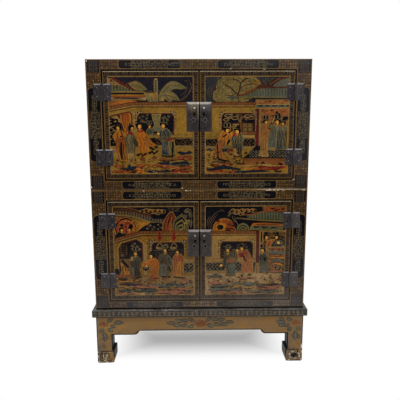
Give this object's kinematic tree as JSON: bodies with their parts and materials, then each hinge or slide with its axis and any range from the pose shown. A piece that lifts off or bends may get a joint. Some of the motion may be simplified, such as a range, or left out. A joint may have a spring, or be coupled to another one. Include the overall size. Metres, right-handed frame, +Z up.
{
  "type": "cabinet on stand",
  "caption": "Stacked lacquered cupboards with paired flush doors, metal hinges and lock plates, on a low stand with shaped aprons and hoof feet.",
  "frame": {"origin": "on the floor, under the middle of the stand's top board", "axes": "+X to the right seen from the front, +Y from front to back, +Z up"},
  "size_m": [0.684, 0.404, 0.95],
  "materials": {
    "black_lacquer": "worn black lacquer with gold lines",
    "painted_lacquer": "lacquer painted in gold and colours, worn",
    "ochre_lacquer": "ochre lacquer painted with flowers, worn",
    "inside_lacquer": "thin dark red lacquer",
    "iron": "dark patinated metal, rubbed at the edges"
  },
  "bodies": {
    "stand": {"stand_apron_back": "ochre_lacquer", "stand_apron_front": "ochre_lacquer", "stand_apron_left": "ochre_lacquer", "stand_apron_right": "ochre_lacquer", "stand_battens": "inside_lacquer", "stand_leg_back_left": "ochre_lacquer", "stand_leg_back_right": "ochre_lacquer", "stand_leg_front_left": "ochre_lacquer", "stand_leg_front_right": "ochre_lacquer", "stand_seat_strips": "black_lacquer", "stand_top_board": "black_lacquer"},
    "lower_case": {"lower_back_panel": "black_lacquer", "lower_bottom_board": "inside_lacquer", "lower_bottom_rail": "painted_lacquer", "lower_door_stops": "inside_lacquer", "lower_hinge_case_leaves": "iron", "lower_hinge_case_nails": "iron", "lower_hinge_pins": "iron", "lower_left_side": "black_lacquer", "lower_left_stile": "painted_lacquer", "lower_right_side": "black_lacquer", "lower_right_stile": "painted_lacquer", "lower_shelf": "inside_lacquer", "lower_top_board": "black_lacquer", "lower_top_rail": "painted_lacquer"},
    "upper_case": {"upper_back_panel": "black_lacquer", "upper_bottom_board": "inside_lacquer", "upper_bottom_rail": "painted_lacquer", "upper_door_stops": "inside_lacquer", "upper_hinge_case_leaves": "iron", "upper_hinge_case_nails": "iron", "upper_hinge_pins": "iron", "upper_left_side": "black_lacquer", "upper_left_stile": "painted_lacquer", "upper_right_side": "black_lacquer", "upper_right_stile": "painted_lacquer", "upper_shelf": "inside_lacquer", "upper_top_board": "black_lacquer", "upper_top_rail": "painted_lacquer"},
    "lower_left_door": {"lower_left_door_panel": "painted_lacquer", "lower_left_hinge_door_leaves": "iron", "lower_left_hinge_door_nails": "iron", "lower_left_lock_fittings": "iron", "lower_left_lock_plate": "iron"},
    "lower_right_door": {"lower_right_door_panel": "painted_lacquer", "lower_right_hinge_door_leaves": "iron", "lower_right_hinge_door_nails": "iron", "lower_right_lock_fittings": "iron", "lower_right_lock_plate": "iron"},
    "upper_left_door": {"upper_left_door_panel": "painted_lacquer", "upper_left_hinge_door_leaves": "iron", "upper_left_hinge_door_nails": "iron", "upper_left_lock_fittings": "iron", "upper_left_lock_plate": "iron"},
    "upper_right_door": {"upper_right_door_panel": "painted_lacquer", "upper_right_hinge_door_leaves": "iron", "upper_right_hinge_door_nails": "iron", "upper_right_lock_fittings": "iron", "upper_right_lock_plate": "iron"}
  },
  "joints": [
    {"name": "lower_case_lift", "type": "slide", "parent": "stand", "child": "lower_case", "axis": [0, 0, 1], "range_m": [0, 0.05]},
    {"name": "upper_case_lift", "type": "slide", "parent": "lower_case", "child": "upper_case", "axis": [0, 0, 1], "range_m": [0, 0.05]},
    {"name": "lower_left_door_hinge", "type": "hinge", "parent": "lower_case", "child": "lower_left_door", "pos_m": [-0.2837, -0.1934, 0.3725], "axis": [0, 0, -1], "range_deg": [0, 165]},
    {"name": "lower_right_door_hinge", "type": "hinge", "parent": "lower_case", "child": "lower_right_door", "pos_m": [0.2837, -0.1934, 0.3725], "axis": [0, 0, 1], "range_deg": [0, 165]},
    {"name": "upper_left_door_hinge", "type": "hinge", "parent": "upper_case", "child": "upper_left_door", "pos_m": [-0.2837, -0.1934, 0.7585], "axis": [0, 0, -1], "range_deg": [0, 165]},
    {"name": "upper_right_door_hinge", "type": "hinge", "parent": "upper_case", "child": "upper_right_door", "pos_m": [0.2837, -0.1934, 0.7585], "axis": [0, 0, 1], "range_deg": [0, 165]}
  ]
}
